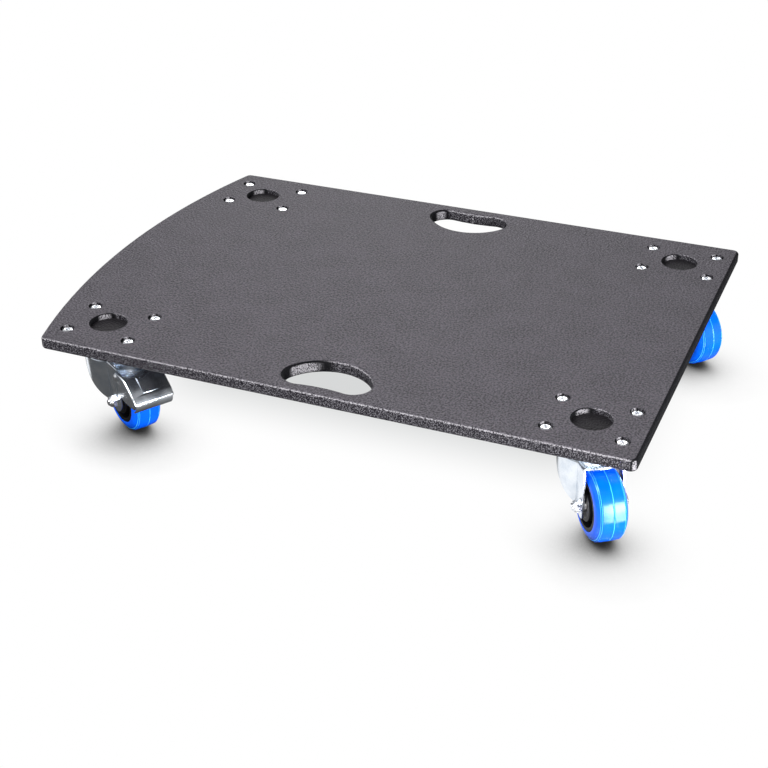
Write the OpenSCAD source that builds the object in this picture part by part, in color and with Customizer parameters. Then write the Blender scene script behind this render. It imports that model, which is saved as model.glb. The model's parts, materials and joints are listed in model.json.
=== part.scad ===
// Trolley for a large loudspeaker: a coated plywood deck with two hand slots and four foot dishes,
// carried on four swivel castors. The two castors at the bowed end have a foot brake.
// The origin lies on the deck's top face, midway between the four kingpins. +X points to the
// straight end of the deck and +Z points up. Sizes are in millimetres.

/* [Deck] */
// Length of the deck's straight long sides
deck_len = 689.5; // [600:0.5:800]
// Width of the deck
deck_w = 518; // [440:1:620]
// Thickness of the plywood
deck_t = 15; // [14:0.5:20]
// How far the bowed end stands out past its corners
bow_h = 38; // [20:1:60]
// Radius of the deck's four corners in plan
corner_r = 8; // [7.5:0.5:20]
// Radius of the rounded-over edges
edge_r = 3.5; // [2:0.25:3.5]
// Kingpin to the straight end of the deck
inset_straight = 62.2; // [58:0.1:90]
// Kingpin to the corners of the bowed end
inset_bowed = 56.7; // [54:0.1:90]
// Kingpin to the long sides of the deck
inset_side = 60.7; // [50:0.1:90]

/* [Hand slots] */
// Length of a hand slot
slot_len = 101.6; // [90:0.2:130]
// Depth of a hand slot, from its outer edge to its inner edge
slot_depth = 57.5; // [48:0.5:70]
// Width of the web between a hand slot and the long side
slot_web = 15.3; // [10:0.1:30]
// Radius of the hand slot's two ends
slot_end_r = 20; // [16:0.5:22]
// How far the slot's outer edge bends into the slot at its middle
slot_bend = 2.5; // [1:0.1:5]

/* [Foot dishes] */
// Diameter of a foot dish
dish_d = 43; // [30:0.5:48]
// Depth of a foot dish
dish_depth = 6.5; // [4:0.1:8]
// Radius of a foot dish's rounded rim
dish_rim_r = 1.5; // [0.5:0.1:2.5]
// How far the dishes at the bowed end lie past the kingpins
dish_shift = 3.4; // [0:0.1:6]

/* [Deck bolts] */
// Thread diameter of a deck bolt
bolt_d = 8; // [6:0.5:8]
// Length of a deck bolt under its head
bolt_len = 20; // [19:0.5:25]
// Diameter of a deck bolt's domed head
bolt_head_d = 14; // [11:0.1:15]
// Height of a deck bolt's domed head
bolt_head_h = 4.4; // [3:0.1:5]
// Diameter of a flat washer
washer_d = 16; // [15:0.1:18]
// Thickness of a flat washer
washer_t = 1.6; // [1:0.1:2]
// How far a bolt head lies below the deck's top face
head_sunk = 1; // [0.2:0.1:2]
// Height of a deck nut
nut_h = 6.5; // [5:0.1:7]

/* [Top plate] */
// Length of a castor's top plate, along the deck
plate_len = 105; // [100:1:110]
// Width of a castor's top plate
plate_w = 85; // [80:1:100]
// Thickness of the top plate
plate_t = 3; // [2:0.1:3.5]
// Radius of the top plate's corners
plate_corner_r = 10; // [5:0.5:14]
// Bolt spacing along the deck
bolt_dx = 80; // [74:0.5:84]
// Bolt spacing across the deck
bolt_dy = 60; // [57:0.5:66]
// Extra length of the slotted bolt holes
bolt_slot = 3; // [0.5:0.1:5]
// Depth of the dished middle of the top plate
plate_dish = 8.5; // [7:0.1:9.5]

/* [Swivel bearing] */
// Diameter of the upper row's balls
upper_ball_d = 6; // [5:0.1:6.5]
// Radius of the upper ball race
upper_race_r = 18; // [17:0.1:19]
// Diameter of the lower row's balls
lower_ball_d = 5; // [4:0.1:5.5]
// Radius of the lower ball race
lower_race_r = 12; // [11.5:0.1:13]
// How deep the balls sit in the pressed races
race_depth = 1; // [0.6:0.1:1.2]
// Diameter of the kingpin's shank
kingpin_d = 12; // [8:0.5:13]
// Diameter of the kingpin's riveted heads
kingpin_head_d = 18; // [16:0.5:22]
// Thickness of the lower race cup
cup_t = 3; // [2:0.1:4]

/* [Castor] */
// Height of a castor from the floor to the underside of the deck
castor_h = 102; // [100:0.5:108]
// Distance from the kingpin to the axle, measured level
trail = 40; // [36:0.5:42]
// Diameter of a wheel
wheel_d = 80; // [72:0.5:81]
// Width of a tyre
tyre_w = 36; // [32:0.5:37]
// Swivel angle of the front left castor at rest
rest_front_left = -32; // [-180:0.5:180]
// Swivel angle of the front right castor at rest
rest_front_right = -54.5; // [-180:0.5:180]
// Swivel angle of the back left castor at rest
rest_back_left = -35; // [-180:0.5:180]
// Swivel angle of the back right castor at rest
rest_back_right = -40.5; // [-180:0.5:180]

/* [Fork] */
// Thickness of the fork's steel sheet
sheet = 2.5; // [1.8:0.1:3]
// Outer radius of the fork's round crown
crown_r = 34; // [32:0.5:38]
// Clear width between the fork's legs
leg_gap = 40; // [38:0.5:44]
// Outer bend radius between the crown and the legs
bend_r = 4; // [3.2:0.1:5]
// Depth of the fork's skirt at its front
skirt_front = 5; // [3.5:0.1:8]
// Distance from the kingpin to the point where the skirt starts to sweep down
skirt_start = 20; // [15:0.5:25]
// Radius of the skirt's swept lower edge
sweep_r = 260; // [200:10:500]
// Radius of the leg's round end about the axle
leg_end_r = 13.5; // [11:0.1:14]
// Distance from the kingpin to the rear edge of a plain fork's crown
crown_rear = 41; // [38:0.5:44]
// How far the crown's rear edge bows out at its middle
crown_bow = 4.7; // [2:0.1:7]

/* [Wheel] */
// Radius of the rim under the tyre
seat_r = 26.5; // [26:0.1:28]
// Height of the rim's flanges above the tyre's seat
flange_h = 1.6; // [1:0.1:2]
// Thickness of the rim under the tyre
rim_t = 3; // [2:0.1:3.2]
// Thickness of the web between hub and rim
web_t = 8; // [5:0.5:12]
// Outside diameter of a wheel bearing
bearing_d = 28; // [24:0.5:30]
// Width of a wheel bearing
bearing_w = 8; // [6:0.5:9]
// Wall of the hub round a bearing
hub_wall = 3.2; // [2:0.1:5]
// Gap between a leg and the wheel's hub
hub_gap = 1.5; // [0.8:0.1:2.5]
// Diameter of the axle bolt
axle_d = 8; // [6:0.5:9]
// Outside diameter of the axle sleeve
sleeve_d = 12; // [11:0.1:14]
// Width across flats of the 8 mm hexagons
hex_af = 13; // [12:0.5:14]
// Height of the axle bolt's head
axle_head_h = 5.3; // [4:0.1:6]
// Height of the axle's locking nut
axle_nut_h = 8; // [6:0.1:9]
// Thread that stands out of the locking nut
axle_stub = 2; // [0.5:0.1:4]

/* [Brake] */
// Distance from the kingpin to the brake's rivets, measured level
rivet_x = 51.5; // [48:0.5:53]
// Depth of the brake's rivets below the underside of the deck
rivet_z = 26; // [25:0.1:29]
// Diameter of a brake rivet
rivet_d = 6; // [5:0.1:7]
// Diameter of a brake rivet's head
rivet_head_d = 10; // [9:0.1:11]
// Thickness of a brake rivet's heads
rivet_head_t = 1.2; // [0.8:0.1:1.4]
// Thickness of the pedal's steel sheet
pedal_sheet = 2; // [1.2:0.1:2.2]
// Angle that the pedal turns through, from free to locked
brake_travel = 12; // [8:0.5:13]
// Gap that is left between the brake shoe and the tyre when locked
lock_gap = 0.4; // [0.35:0.05:1]
// Width of the brake shoe
shoe_w = 24; // [16:1:28]
// Length of the brake shoe, measured along the pedal
shoe_len = 14; // [10:0.5:16]
// Thickness of the leaf that carries the brake shoe
leaf_t = 1.2; // [0.8:0.1:1.6]
// Depth of the pedal's turned-down lip
lip_h = 11; // [6:0.5:13]
// Side of the square embossed on the pedal
emboss_w = 22; // [14:1:26]
// Height of the square embossed on the pedal
emboss_h = 2; // [0.6:0.1:2.4]

/* [Clearances] */
// Gap between two pieces that are fixed to each other
seat_gap = 0.05; // [0.03:0.01:0.08]
// Gap between two pieces that run on each other
run_gap = 0.05; // [0.03:0.01:0.08]
// Gap between a bolt and its hole
hole_gap = 0.25; // [0.1:0.05:0.4]
// Gap between a brake cheek and a fork leg
cheek_gap = 0.5; // [0.3:0.05:0.8]

/* [Hidden] */
// Smoothness of round pieces, of large round pieces and of hull corners
$fn = 64;
fn_large = 720;
fn_wheel = 120;
fn_hull = 24;
// Overrun of a cut past the faces that it goes through
cut = 1;

// Places along and across the deck
pin_y = deck_w / 2 - inset_side;
pin_x = (deck_len - inset_straight - inset_bowed) / 2;
straight_x = pin_x + inset_straight;
bowed_x = -pin_x - inset_bowed;
bow_r = (pow(bow_h, 2) + pow(deck_w / 2, 2)) / (2 * bow_h);
bow_cx = bowed_x - bow_h + bow_r;
corner_y = deck_w / 2 - corner_r;
corner_straight_x = straight_x - corner_r;
corner_bowed_x = bow_cx - sqrt(pow(bow_r - corner_r, 2) - pow(corner_y, 2));

// Hand slot: its ends, its long inner arc and the bent edge of its web
slot_outer = deck_w / 2 - slot_web;
slot_end_x = slot_len / 2 - slot_end_r;
slot_end_y = slot_outer - slot_end_r;
arc_rise = slot_depth - slot_end_r;
slot_arc_r = (pow(slot_end_x, 2) + pow(arc_rise, 2) - pow(slot_end_r, 2)) / (2 * (arc_rise - slot_end_r));
slot_arc_y = slot_outer - slot_depth + slot_arc_r;
web_rise = slot_end_r - slot_bend;
web_r = (pow(slot_end_x, 2) + pow(web_rise, 2) - pow(slot_end_r, 2)) / (2 * slot_bend);
web_y = slot_outer - slot_bend + web_r;

// Heights in the bolt stack, from the deck's top face
counterbore = head_sunk + bolt_head_h + washer_t;
hex_r = hex_af / 2 / cos(30);
socket_af = 5;
socket_depth = 2.4;
hex_chamfer = 0.8;

// Heights in the swivel bearing, from the underside of the deck
plate_under = -(plate_dish + plate_t);
upper_ball_z = plate_under + race_depth - run_gap - upper_ball_d / 2;
crown_z = upper_ball_z - upper_ball_d / 2 - run_gap + race_depth;
lower_ball_z = crown_z - sheet + race_depth - run_gap - lower_ball_d / 2;
cup_z = lower_ball_z - lower_ball_d / 2 - run_gap + race_depth;
kingpin_head_h = 3;
kingpin_bevel = 1.2;
crown_bore_r = lower_race_r - lower_ball_d / 2 - 1.2;
dish_floor_r = upper_race_r + upper_ball_d / 2 + 1.5;
dish_mouth_r = dish_floor_r + 5.5;
dish_wall = plate_t * 0.8;
cup_r = lower_race_r + lower_ball_d / 2 + 1.5;

// Fork, seen from the side
axle_z = wheel_d / 2 - castor_h;
leg_out = leg_gap / 2 + sheet;
sweep_from = [-skirt_start, crown_z - skirt_front];
sweep_d = norm([trail, axle_z] - sweep_from);
sweep_rest = sweep_r - leg_end_r;
sweep_turn = acos((pow(sweep_d, 2) + pow(sweep_r, 2) - pow(sweep_rest, 2)) / (2 * sweep_d * sweep_r));
sweep_dir = atan2(axle_z - sweep_from[1], trail - sweep_from[0]) + sweep_turn;
sweep_c = sweep_from + sweep_r * [cos(sweep_dir), sin(sweep_dir)];
sweep_to = [trail, axle_z] + leg_end_r * ([trail, axle_z] - sweep_c) / norm([trail, axle_z] - sweep_c);
ear_margin = 4.5;
tail_bend_x = crown_rear + 3;
tail_x = rivet_x + rivet_head_d / 2 + ear_margin;
tail_drop = 6.5;

// Wheel, from its middle plane
wheel_r = wheel_d / 2;
hub_half = leg_gap / 2 - hub_gap;
hub_r = bearing_d / 2 + hub_wall;
rim_half = tyre_w / 2 - 0.5;
flange_t = 2.6;
seam_h = 0.15;
tread_half = tyre_w * 0.33;
tread_drop = 0.5;
shoulder_r = wheel_r - 2.8;
shoulder_half = tyre_w * 0.375;
side_bulge = 1.1;
bead_r = 0.7;
groove_r = 0.5;

// Brake, seen from the side in the fork's frame
rivet = [rivet_x, -rivet_z];
cheek_in = leg_out + cheek_gap;
cheek_out = cheek_in + pedal_sheet;
pedal_slope = -38;
pedal_dir = [cos(pedal_slope), sin(pedal_slope)];
pedal_up = [-sin(pedal_slope), cos(pedal_slope)];
pedal_top = rivet + [19, 4.5];
pedal_low = pedal_top + 26.5 * pedal_dir;
pedal_head = pedal_top + [-8, 2];
pedal_toe = pedal_low + [4, -6.5];
pedal_edge_r = 2.4;
wheel_c = [trail, axle_z];
turned = wheel_c - rivet;
free_c = rivet + [turned[0] * cos(brake_travel) - turned[1] * sin(brake_travel),
                  turned[0] * sin(brake_travel) + turned[1] * cos(brake_travel)];
leaf_len = 22;

FRONT_LEFT = ["front_left", -1, -1, rest_front_left, true];
FRONT_RIGHT = ["front_right", 1, -1, rest_front_right, false];
BACK_LEFT = ["back_left", -1, 1, rest_back_left, true];
BACK_RIGHT = ["back_right", 1, 1, rest_back_right, false];
CASTORS = [FRONT_LEFT, FRONT_RIGHT, BACK_LEFT, BACK_RIGHT];
CASTOR_PARTS = ["top_plate", "kingpin", "race_cup", "swivel_balls", "fork", "axle_bolt", "axle_nut",
                "axle_sleeve", "wheel_bearings", "wheel_rim", "tyre"];
BRAKE_PARTS = ["brake_rivets", "brake_pedal", "brake_leaf", "brake_shoe"];

// Half section of a slab with rounded edges, from its middle out to a length
module edge_section(length) {
    translate([0, -deck_t]) square([length - edge_r, deck_t]);
    translate([0, edge_r - deck_t]) square([length, deck_t - 2 * edge_r]);
    for (z = [-edge_r, edge_r - deck_t]) translate([length - edge_r, z]) circle(edge_r);
}

// Round slab of the deck's thickness with a rounded rim
module round_slab(radius) {
    rotate_extrude($fn = radius > deck_w / 4 ? fn_large : $fn) edge_section(radius);
}

// Half section of a hole through the deck, flared by the rounded edges
module hole_section(radius) {
    translate([0, -deck_t - cut]) square([radius, deck_t + 2 * cut]);
    for (side = [0, 1]) translate([0, -side * deck_t]) mirror([0, side]) difference() {
        translate([0, -edge_r]) square([radius + edge_r, edge_r + cut]);
        translate([radius + edge_r, -edge_r]) circle(edge_r);
    }
}

// The deck's blank, joined from rounded slabs that meet where their edges are tangent
module deck_blank() {
    near = bow_cx / (bow_cx - corner_bowed_x);
    far = 1.2;
    translate([corner_bowed_x, 0, 0]) rotate([90, 0, 90])
        linear_extrude(corner_straight_x - corner_bowed_x)
            for (side = [0, 1]) mirror([side, 0]) edge_section(deck_w / 2);
    rotate([90, 0, 0]) linear_extrude(2 * corner_y, center = true) edge_section(straight_x);
    intersection() {
        translate([bow_cx, 0, 0]) round_slab(bow_r);
        translate([bow_cx, 0, -deck_t - cut]) linear_extrude(deck_t + 2 * cut)
            polygon([for (p = [[near, 1], [far, 1], [far, -1], [near, -1]])
                     p[0] * [corner_bowed_x - bow_cx, p[1] * corner_y]]);
    }
    for (x = [corner_bowed_x, corner_straight_x], y = [-corner_y, corner_y])
        translate([x, y, 0]) round_slab(corner_r);
}

// Cutter for the hand slot on the +Y side: two round ends, the long inner arc and the web's edge
module hand_slot() {
    ends = [[-slot_end_x, slot_end_y], [slot_end_x, slot_end_y]];
    arc_c = [0, slot_arc_y];
    web_c = [0, web_y];
    reach = slot_end_r + edge_r + cut;
    for (e = ends) translate(e) rotate_extrude() hole_section(slot_end_r);
    intersection() {
        translate(arc_c) rotate_extrude($fn = 2 * fn_wheel) hole_section(slot_arc_r);
        translate([0, 0, -deck_t - cut]) linear_extrude(deck_t + 2 * cut)
            polygon([arc_c, arc_c + 3 * (ends[0] - arc_c), [0, slot_arc_y - 3 * slot_arc_r],
                     arc_c + 3 * (ends[1] - arc_c)]);
    }
    difference() {
        translate([0, 0, -deck_t - cut]) linear_extrude(deck_t + 2 * cut)
            polygon([ends[0], for (e = ends) e + reach * (web_c - e) / norm(web_c - e), ends[1]]);
        translate(web_c) round_slab(web_r);
    }
}

// Cutter for a foot dish with a rounded rim
module foot_dish() {
    rotate_extrude() {
        translate([0, -dish_depth]) square([dish_d / 2, dish_depth + cut]);
        difference() {
            translate([0, -dish_rim_r]) square([dish_d / 2 + dish_rim_r, dish_rim_r + cut]);
            translate([dish_d / 2 + dish_rim_r, -dish_rim_r]) circle(dish_rim_r);
        }
    }
}

// Repeats its children at the four bolts of each castor
module at_deck_bolts() {
    for (c = CASTORS, i = [-1, 1], j = [-1, 1])
        translate([c[1] * pin_x + i * bolt_dx / 2, c[2] * pin_y + j * bolt_dy / 2, 0]) children();
}

// Hexagonal prism with its corners bevelled at the top
module hexagon(height) {
    intersection() {
        cylinder(r = hex_r, h = height, $fn = 6);
        union() {
            cylinder(r = hex_r, h = height - hex_chamfer);
            translate([0, 0, height - hex_chamfer])
                cylinder(r1 = hex_r, r2 = hex_af / 2 - seat_gap, h = hex_chamfer);
        }
    }
}

module deck_board() {
    color([0.2, 0.19, 0.21]) difference() {
        deck_blank();
        for (side = [0, 1]) mirror([0, side, 0]) hand_slot();
        for (c = CASTORS)
            translate([c[1] * pin_x - (c[1] < 0 ? dish_shift : 0), c[2] * pin_y, 0]) foot_dish();
        at_deck_bolts() {
            translate([0, 0, -counterbore]) cylinder(d = washer_d + 2 * hole_gap, h = counterbore + cut);
            translate([0, 0, -deck_t - cut]) cylinder(d = bolt_d + 2 * hole_gap, h = deck_t + 2 * cut);
        }
    }
}

module deck_bolts() {
    head_z = -head_sunk - bolt_head_h;
    dome_r = (pow(bolt_head_d / 2, 2) + pow(bolt_head_h, 2)) / (2 * bolt_head_h);
    color([0.85, 0.86, 0.88]) at_deck_bolts() {
        difference() {
            translate([0, 0, head_z]) intersection() {
                cylinder(d = bolt_head_d - 2 * seat_gap, h = bolt_head_h);
                translate([0, 0, bolt_head_h - dome_r]) sphere(dome_r);
            }
            translate([0, 0, -head_sunk - socket_depth])
                cylinder(r = socket_af / 2 / cos(30), h = socket_depth + cut, $fn = 6);
        }
        translate([0, 0, head_z - bolt_len]) cylinder(d = bolt_d, h = bolt_len);
    }
}

module deck_washers() {
    color([0.8, 0.81, 0.83]) at_deck_bolts() translate([0, 0, -counterbore]) difference() {
        cylinder(d = washer_d, h = washer_t);
        translate([0, 0, -cut]) cylinder(d = bolt_d + 2 * hole_gap, h = washer_t + 2 * cut);
    }
}

module deck_nuts() {
    color([0.8, 0.81, 0.83]) at_deck_bolts() translate([0, 0, -deck_t - plate_t]) difference() {
        mirror([0, 0, 1]) hexagon(nut_h);
        translate([0, 0, -nut_h - cut]) cylinder(d = bolt_d + 2 * seat_gap, h = nut_h + 2 * cut);
    }
}

// Pressed steel plate with a dished middle that carries the upper ball race
module top_plate() {
    inner = [plate_len / 2 - plate_corner_r, plate_w / 2 - plate_corner_r];
    color([0.78, 0.8, 0.83]) difference() {
        union() {
            translate([0, 0, -plate_t]) linear_extrude(plate_t) difference() {
                union() {
                    square([plate_len, 2 * inner[1]], center = true);
                    square([2 * inner[0], plate_w], center = true);
                    for (i = [-1, 1], j = [-1, 1]) translate([i * inner[0], j * inner[1]])
                        circle(plate_corner_r);
                }
                circle(dish_mouth_r);
                for (i = [-1, 1], j = [-1, 1]) translate([i * bolt_dx / 2, j * bolt_dy / 2]) {
                    square([bolt_slot, bolt_d + 2 * hole_gap], center = true);
                    for (k = [-1, 1]) translate([k * bolt_slot / 2, 0]) circle(d = bolt_d + 2 * hole_gap);
                }
            }
            rotate_extrude() polygon([
                [kingpin_d / 2 + seat_gap, -plate_dish], [dish_floor_r, -plate_dish], [dish_mouth_r, 0],
                [dish_mouth_r + dish_wall, 0], [dish_mouth_r + dish_wall, -plate_t],
                [dish_floor_r + dish_wall, plate_under], [kingpin_d / 2 + seat_gap, plate_under]]);
        }
        rotate_extrude() translate([upper_race_r, upper_ball_z]) circle(upper_ball_d / 2 + run_gap);
    }
}

// Kingpin riveted over at both ends, which holds the swivel bearing together
module kingpin() {
    head_r = kingpin_head_d / 2;
    foot_z = cup_z - cup_t;
    color([0.72, 0.74, 0.77]) rotate_extrude() polygon([
        [0, kingpin_head_h - plate_dish], [head_r - kingpin_bevel, kingpin_head_h - plate_dish],
        [head_r, kingpin_head_h - kingpin_bevel - plate_dish], [head_r, -plate_dish],
        [kingpin_d / 2, -plate_dish], [kingpin_d / 2, foot_z], [head_r, foot_z],
        [head_r, foot_z - kingpin_head_h + kingpin_bevel],
        [head_r - kingpin_bevel, foot_z - kingpin_head_h], [0, foot_z - kingpin_head_h]]);
}

// Hardened cup under the crown, which the lower ball row runs in
module race_cup() {
    color([0.7, 0.72, 0.75]) difference() {
        translate([0, 0, cup_z - cup_t]) cylinder(r = cup_r, h = cup_t);
        translate([0, 0, cup_z - cup_t - cut]) cylinder(r = kingpin_d / 2 + seat_gap, h = cup_t + 2 * cut);
        rotate_extrude() translate([lower_race_r, lower_ball_z]) circle(lower_ball_d / 2 + run_gap);
    }
}

// One row of balls round the kingpin, with a small space between neighbours
module ball_row(race_r, ball_d, z) {
    count = floor(180 / asin(ball_d * 1.08 / 2 / race_r));
    for (i = [0:count - 1]) rotate([0, 0, 360 / count * i]) translate([race_r, 0, z])
        sphere(d = ball_d, $fn = 32);
}

module swivel_balls() {
    color([0.85, 0.86, 0.88]) {
        ball_row(upper_race_r, upper_ball_d, upper_ball_z);
        ball_row(lower_race_r, lower_ball_d, lower_ball_z);
    }
}

// Turns a side view, drawn with X to the rear and Y up, into a piece as wide as given
module across(width) {
    rotate([90, 0, 0]) linear_extrude(width, center = true) children();
}

// The fork's outer form: a round cap that runs into a straight channel, with a bent upper edge
module fork_form(rear) {
    depth = crown_z - axle_z + leg_end_r + cut;
    rotate_extrude($fn = fn_wheel) {
        translate([0, crown_z - depth]) square([crown_r, depth - bend_r]);
        translate([0, crown_z - depth]) square([crown_r - bend_r, depth]);
        translate([crown_r - bend_r, crown_z - bend_r]) circle(bend_r);
    }
    rotate([90, 0, 90]) linear_extrude(rear) {
        translate([-leg_out, crown_z - depth]) square([2 * leg_out, depth - bend_r]);
        translate([bend_r - leg_out, crown_z - depth]) square([2 * (leg_out - bend_r), depth]);
        for (i = [-1, 1]) translate([i * (leg_out - bend_r), crown_z - bend_r]) circle(bend_r);
    }
}

// Side view of the fork's walls. A braked fork runs further back, to carry the brake's rivets
module wall_side(braked) {
    rear = braked ? [[tail_bend_x, crown_z], [tail_x, crown_z - tail_drop], [tail_x, -rivet_z - 1],
                     [trail + leg_end_r + 1.5, axle_z + 16]]
                  : [[crown_rear, crown_z]];
    translate([-crown_r - cut, crown_z - skirt_front]) square([crown_r + cut, skirt_front]);
    intersection() {
        translate(sweep_c) circle(sweep_r, $fn = fn_large);
        polygon(concat([[-skirt_start, crown_z]], rear, [[trail + leg_end_r, axle_z], wheel_c,
                sweep_to, [sweep_from[0], sweep_to[1]]]));
    }
    translate(wheel_c) circle(leg_end_r);
}

// Side view of the crown's roof, which slopes down behind the bend on a braked fork
module roof_side(braked) {
    far = roof_end(braked);
    drop = braked ? tail_drop : 0;
    polygon([[-crown_r, crown_z], [tail_bend_x, crown_z], [far, crown_z - drop],
             [far, crown_z - drop - sheet], [tail_bend_x, crown_z - sheet], [-crown_r, crown_z - sheet]]);
}

// Pressed fork: a round crown with both ball races, and two legs that sweep back to the axle
module fork(braked) {
    far = roof_end(braked);
    rear_r = (pow(leg_out, 2) + pow(crown_bow, 2)) / (2 * crown_bow);
    color([0.8, 0.83, 0.87]) difference() {
        union() {
            intersection() {
                difference() {
                    fork_form(far);
                    translate([0, 0, axle_z - 2 * leg_end_r]) linear_extrude(-axle_z + 2 * leg_end_r) {
                        circle(crown_r - sheet, $fn = fn_wheel);
                        translate([0, -leg_gap / 2]) square([far + cut, leg_gap]);
                    }
                }
                across(2 * crown_r + 2 * cut) wall_side(braked);
            }
            intersection() {
                fork_form(far);
                across(2 * crown_r + 2 * cut) roof_side(braked);
                translate([far - rear_r, 0, crown_z - far]) cylinder(r = rear_r, h = 2 * far, $fn = 240);
            }
        }
        rotate_extrude() translate([upper_race_r, upper_ball_z]) circle(upper_ball_d / 2 + run_gap);
        rotate_extrude() translate([lower_race_r, lower_ball_z]) circle(lower_ball_d / 2 + run_gap);
        translate([0, 0, crown_z - sheet - cut]) cylinder(r = crown_bore_r, h = sheet + 2 * cut);
        translate([trail, 0, axle_z]) across(2 * leg_out + 2 * cut) circle(d = axle_d + 2 * hole_gap);
        if (braked) translate([rivet_x, 0, -rivet_z]) across(2 * leg_out + 2 * cut)
            circle(d = rivet_d + 2 * seat_gap);
    }
}

// Puts its children on the axle: their own Z axis becomes the axle's line
module on_axle() {
    translate([trail, 0, axle_z]) rotate([-90, 0, 0]) children();
}

module axle_bolt() {
    shank = 2 * leg_out + axle_nut_h + axle_stub;
    color([0.82, 0.84, 0.86]) on_axle() {
        translate([0, 0, leg_out]) hexagon(axle_head_h);
        translate([0, 0, leg_out - shank]) cylinder(d = axle_d, h = shank);
    }
}

module axle_nut() {
    collar_h = axle_nut_h * 0.25;
    color([0.8, 0.82, 0.85]) on_axle() translate([0, 0, -leg_out]) mirror([0, 0, 1]) difference() {
        union() {
            hexagon(axle_nut_h - collar_h);
            cylinder(d = hex_af - 2 * hex_chamfer, h = axle_nut_h);
        }
        translate([0, 0, -cut]) cylinder(d = axle_d + 2 * seat_gap, h = axle_nut_h + 2 * cut);
    }
}

// Spacer tube that the legs are clamped against, and that the bearings run on
module axle_sleeve() {
    color([0.7, 0.72, 0.75]) on_axle() difference() {
        cylinder(d = sleeve_d, h = leg_gap - 2 * seat_gap, center = true);
        cylinder(d = axle_d + hole_gap, h = leg_gap + 2 * cut, center = true);
    }
}

// Two sealed ball bearings, drawn closed, with the step between rings and seals
module wheel_bearings() {
    bore_r = sleeve_d / 2 + run_gap;
    outer_r = bearing_d / 2;
    ring = (outer_r - bore_r) * 0.22;
    seal_sunk = 0.4;
    color([0.62, 0.64, 0.67]) on_axle() for (side = [0, 1]) mirror([0, 0, side])
        translate([0, 0, hub_half - bearing_w]) rotate_extrude() difference() {
            translate([bore_r, 0]) square([outer_r - bore_r, bearing_w]);
            for (z = [-cut, bearing_w - seal_sunk]) translate([bore_r + ring, z])
                square([outer_r - bore_r - 2 * ring, z < 0 ? cut + seal_sunk : seal_sunk + cut]);
        }
}

// Moulded rim: hub with a bearing seat at each end, web, and a flanged seat for the tyre
module wheel_rim() {
    bore_r = sleeve_d / 2 + 3;
    lip = 0.6;
    flange_r = seat_r + flange_h;
    fillet = 2.5;
    web_half = web_t / 2;
    color([0.06, 0.06, 0.07]) on_axle() rotate_extrude($fn = fn_wheel) difference() {
        polygon(mirrored([
            [bore_r, hub_half], [hub_r, hub_half], [hub_r, web_half + fillet],
            [hub_r + fillet, web_half], [seat_r - rim_t - fillet, web_half],
            [seat_r - rim_t, web_half + fillet], [seat_r - rim_t, rim_half], [flange_r - lip, rim_half],
            [flange_r, rim_half - lip], [flange_r, rim_half - flange_t + lip],
            [flange_r - lip, rim_half - flange_t], [seat_r, rim_half - flange_t]]));
        for (side = [0, 1]) mirror([0, side]) translate([0, hub_half - bearing_w])
            square([bearing_d / 2 + seat_gap, bearing_w + cut]);
    }
}

// Elastic tyre: crowned tread with a mould seam, a groove and a bead at each shoulder, and full
// sides that slope in to the rim's flanges
module tyre() {
    tread_r = wheel_r - seam_h;
    crown_arc = (pow(tread_half, 2) + pow(tread_drop, 2)) / (2 * tread_drop);
    seat = seat_r + seat_gap;
    flange = seat_r + flange_h + seat_gap;
    foot = rim_half - flange_t - seat_gap;
    side_foot = [flange + 0.3, tyre_w / 2 - 0.2];
    side_top = [shoulder_r, shoulder_half];
    seam_r = 4 * seam_h;
    color([0.03, 0.35, 0.9]) on_axle() difference() {
        union() {
            rotate_extrude($fn = fn_wheel) polygon(mirrored(concat(
                [[seat, foot], [flange, foot], [flange, side_foot[1] - 0.3]],
                bulge(side_foot, side_top, side_bulge, 8),
                [[tread_r - tread_drop, tread_half]])));
            rotate_extrude($fn = fn_wheel) intersection() {
                translate([tread_r - crown_arc, 0]) circle(crown_arc, $fn = 240);
                translate([seat + 1, -tread_half]) square([wheel_r, 2 * tread_half]);
            }
            rotate_extrude($fn = fn_wheel) translate([wheel_r - seam_r, 0]) circle(seam_r);
            for (i = [-1, 1]) rotate_extrude($fn = fn_wheel)
                translate([shoulder_r - bead_r / 4, i * (shoulder_half - bead_r / 4)]) circle(bead_r);
        }
        for (i = [-1, 1]) rotate_extrude($fn = fn_wheel)
            translate([tread_r - tread_drop - groove_r / 2, i * (tread_half + groove_r / 2)])
                circle(groove_r);
    }
}

// Two shoulder rivets, one in each leg, that the pedal hangs on
module brake_rivets() {
    inner_head_d = rivet_head_d - 2;
    color([0.85, 0.86, 0.88]) for (side = [0, 1]) mirror([0, side, 0]) translate([rivet_x, 0, -rivet_z])
        rotate([-90, 0, 0]) {
            translate([0, 0, leg_gap / 2 - rivet_head_t]) cylinder(d = inner_head_d, h = rivet_head_t);
            translate([0, 0, leg_gap / 2 - cut / 2])
                cylinder(d = rivet_d, h = cheek_out - leg_gap / 2 + run_gap + cut);
            translate([0, 0, cheek_out + run_gap]) cylinder(d1 = rivet_head_d, d2 = rivet_d,
                                                            h = 1.5 * rivet_head_t);
        }
}

// A round rod across the pedal, as a corner for a hull
module rod(place, inset, width) {
    translate([place[0], 0, place[1]]) for (side = [-1, 1])
        translate([0, side * (width / 2 - inset), 0]) sphere(inset, $fn = fn_hull);
}

// Outline of the pedal's sides, and of the space inside it, as points of the side view
cheek_points = [pedal_head, pedal_top, pedal_low, pedal_toe, pedal_toe + [-4, -5.5],
                rivet + [19, -25.5], rivet + [2, -20.5], rivet + [-6.5, -2], rivet + [-3, 5.5]];

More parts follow.
